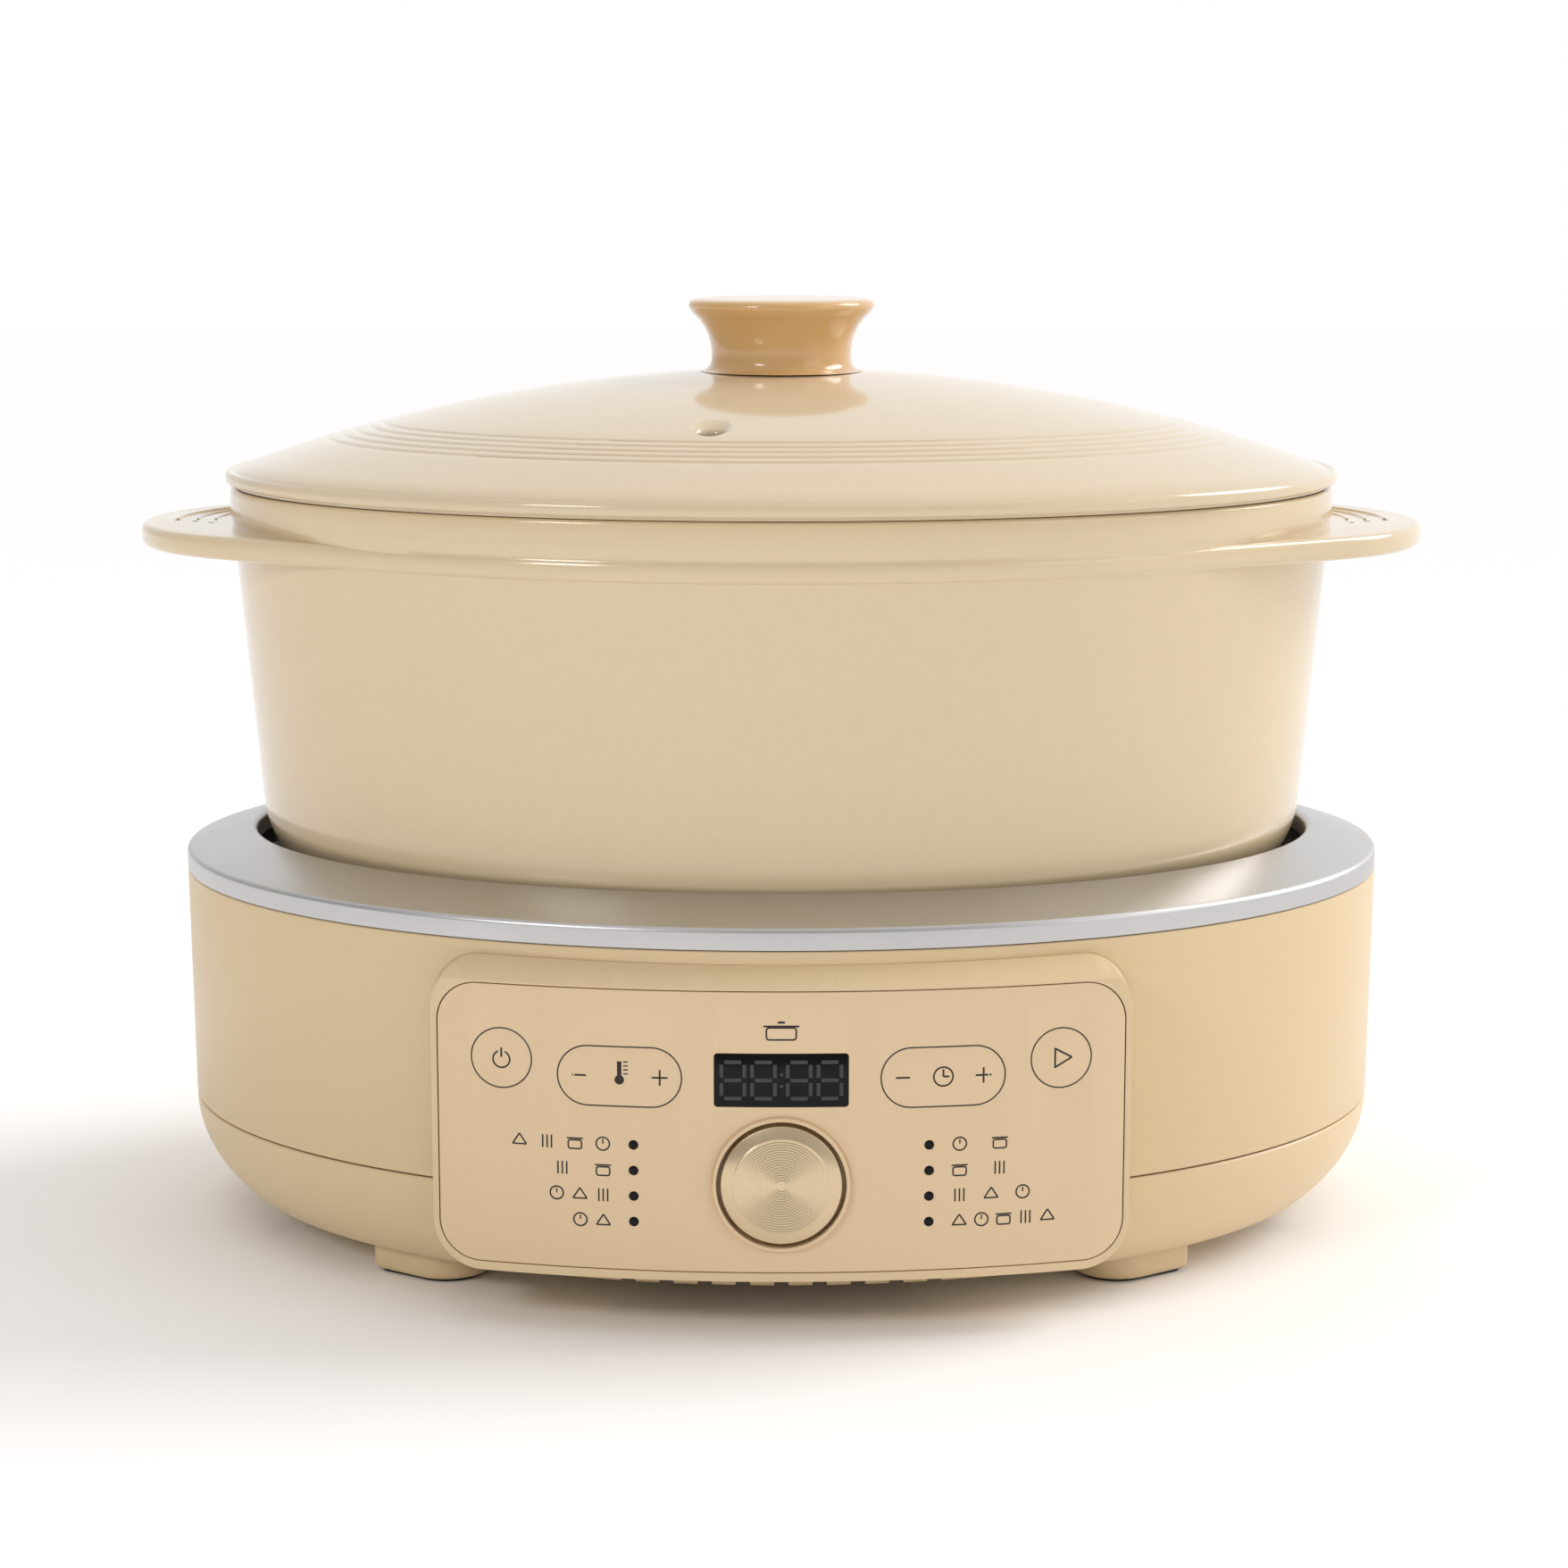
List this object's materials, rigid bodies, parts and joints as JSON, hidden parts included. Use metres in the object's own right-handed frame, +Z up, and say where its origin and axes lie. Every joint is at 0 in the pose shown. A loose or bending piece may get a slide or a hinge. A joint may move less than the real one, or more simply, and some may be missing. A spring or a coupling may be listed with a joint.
{
  "type": "slow cooker",
  "caption": "Oval countertop slow cooker with a lift-out handled pot, domed lid with knob, metal deck ring and a front control panel.",
  "frame": {"origin": "on the table, under the middle of the whole object's box", "axes": "+Z up, +X to the right along the oval's length, the control panel faces -Y"},
  "size_m": [0.383, 0.287, 0.275],
  "materials": {
    "shell_plastic": "satin beige moulded shell",
    "panel_plastic": "fine satin beige",
    "ring_metal": "bead-blasted satin silver",
    "silicone": "matt",
    "well_aluminium": "plain drawn sheet",
    "cast_aluminium": "as cast and skimmed",
    "element_steel": "drawn tube, heat dulled",
    "fixing_steel": "zinc plated",
    "sensor_aluminium": "turned",
    "ceramic_white": "sleeved",
    "window_black": "tinted, polished",
    "dark_plastic": "moulded",
    "led_white": "moulded",
    "circuit_board": "solder mask",
    "dial_metal": "champagne anodised, spun grooves",
    "blue_plastic": "moulded",
    "winding_tape": "wound and taped",
    "green_plastic": "moulded",
    "fuse_glass": "glass tube",
    "pin_brass": "nickel plated",
    "lead_brown": "PVC insulation",
    "lead_white": "glass-fibre sleeve",
    "lead_green": "PVC insulation",
    "lead_grey": "PVC insulation",
    "foot_rubber": "matt",
    "pot_enamel": "glossy ceramic coating",
    "lid_enamel": "glossy ceramic coating",
    "knob_enamel": "glossy ceramic coating"
  },
  "bodies": {
    "base": {"mid_shell": "shell_plastic", "bottom_cover": "shell_plastic", "cover_feet": "shell_plastic", "deck_ring": "ring_metal", "deck_seal": "silicone", "heating_well": "well_aluminium", "heating_plate": "cast_aluminium", "heating_element": "element_steel", "heat_shield": "well_aluminium", "plate_posts": "fixing_steel", "plate_screws": "fixing_steel", "sensor_guide": "fixing_steel", "sensor_spring": "fixing_steel", "thermal_fuse": "ceramic_white", "fuse_clip": "fixing_steel", "control_pod": "shell_plastic", "panel_face": "panel_plastic", "dial_bezel": "panel_plastic", "display_window": "window_black", "display_module": "dark_plastic", "lamp_lenses": "window_black", "lamp_leds": "led_white", "control_board": "circuit_board", "tact_switches": "dark_plastic", "encoder_body": "fixing_steel", "board_screws": "fixing_steel", "pod_screws": "fixing_steel", "power_board": "circuit_board", "power_board_screws": "fixing_steel", "relay": "blue_plastic", "transformer": "winding_tape", "filter_capacitor": "blue_plastic", "terminal_block": "green_plastic", "mains_fuse": "fuse_glass", "inlet_housing": "dark_plastic", "inlet_pins": "pin_brass", "inlet_screws": "fixing_steel", "mains_leads": "lead_brown", "heater_leads": "lead_white", "earth_lead": "lead_green", "sensor_leads": "lead_grey", "ribbon_cable": "lead_grey", "cover_screws": "fixing_steel", "ring_screws": "fixing_steel", "foot_pads": "foot_rubber"},
    "pot": {"pot": "pot_enamel"},
    "lid": {"lid_dome": "lid_enamel", "lid_knob": "knob_enamel", "knob_screw": "fixing_steel", "knob_washer": "fixing_steel"},
    "dial": {"dial_cap": "dial_metal", "dial_core": "dark_plastic", "encoder_shaft": "fixing_steel"},
    "power_key": {"power_key": "panel_plastic"},
    "start_key": {"start_key": "panel_plastic"},
    "temp_key": {"temp_key": "panel_plastic"},
    "time_key": {"time_key": "panel_plastic"},
    "sensor": {"sensor_cap": "sensor_aluminium"}
  },
  "joints": [
    {"name": "pot_lift", "type": "slide", "parent": "base", "child": "pot", "axis": [0, 0, 1], "range_m": [0, 0.2]},
    {"name": "lid_lift", "type": "slide", "parent": "pot", "child": "lid", "axis": [0, 0, 1], "range_m": [0, 0.15]},
    {"name": "dial_turn", "type": "hinge", "parent": "base", "child": "dial", "pos_m": [0, -0.1365, 0.0437], "axis": [0, 1, 0], "continuous": true},
    {"name": "power_press", "type": "slide", "parent": "base", "child": "power_key", "axis": [0, 1, 0], "range_m": [0, 0.0004], "stiffness_N_per_m": 900, "springref_m": -0.0005},
    {"name": "start_press", "type": "slide", "parent": "base", "child": "start_key", "axis": [0, 1, 0], "range_m": [0, 0.0004], "stiffness_N_per_m": 900, "springref_m": -0.0005},
    {"name": "temp_rock", "type": "hinge", "parent": "base", "child": "temp_key", "pos_m": [-0.0435, -0.13443, 0.0728], "axis": [0, 0, 1], "range_deg": [-2.5, 2.5], "stiffness_Nm_per_rad": 0.3},
    {"name": "time_rock", "type": "hinge", "parent": "base", "child": "time_key", "pos_m": [0.0435, -0.13443, 0.0728], "axis": [0, 0, 1], "range_deg": [-2.5, 2.5], "stiffness_Nm_per_rad": 0.3},
    {"name": "sensor_press", "type": "slide", "parent": "base", "child": "sensor", "axis": [0, 0, -1], "range_m": [0, 0.003], "stiffness_N_per_m": 180, "springref_m": -0.004, "deforming": ["sensor_spring"]}
  ]
}
